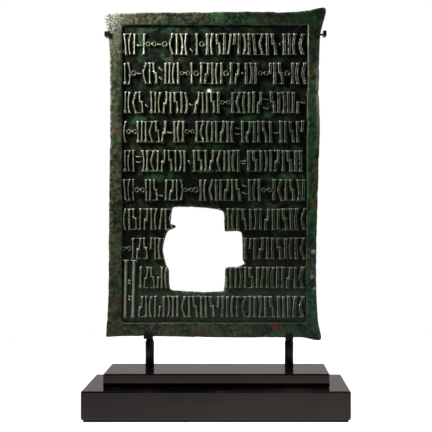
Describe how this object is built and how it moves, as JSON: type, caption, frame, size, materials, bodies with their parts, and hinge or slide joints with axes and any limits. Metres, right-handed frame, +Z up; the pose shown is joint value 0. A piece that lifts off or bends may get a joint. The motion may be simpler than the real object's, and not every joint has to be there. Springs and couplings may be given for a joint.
{
  "type": "inscribed bronze plaque on a stand",
  "caption": "Weathered bronze tablet with a raised border, rows of raised strokes and a cross-shaped loss, held upright by a dark metal mount on a gloss black stepped plinth.",
  "frame": {"origin": "middle of the lower plinth's underside", "axes": "+X to the right of a viewer who faces the strokes, -Y towards that viewer, +Z up"},
  "size_m": [0.2712, 0.116, 0.4262],
  "materials": {
    "patinated_bronze": "cast bronze with a dark green and brown patina, worn paler on its raised edges",
    "gloss_black": "polished gloss black",
    "blackened_metal": "satin brown-black"
  },
  "bodies": {
    "root": {"plaque": "patinated_bronze", "lower_plinth": "gloss_black", "upper_plinth": "gloss_black", "left_post": "blackened_metal", "right_post": "blackened_metal", "left_hook": "blackened_metal", "right_hook": "blackened_metal", "left_upright": "blackened_metal", "right_upright": "blackened_metal", "cross_bar": "blackened_metal", "left_clip": "blackened_metal", "right_clip": "blackened_metal"}
  },
  "joints": []
}
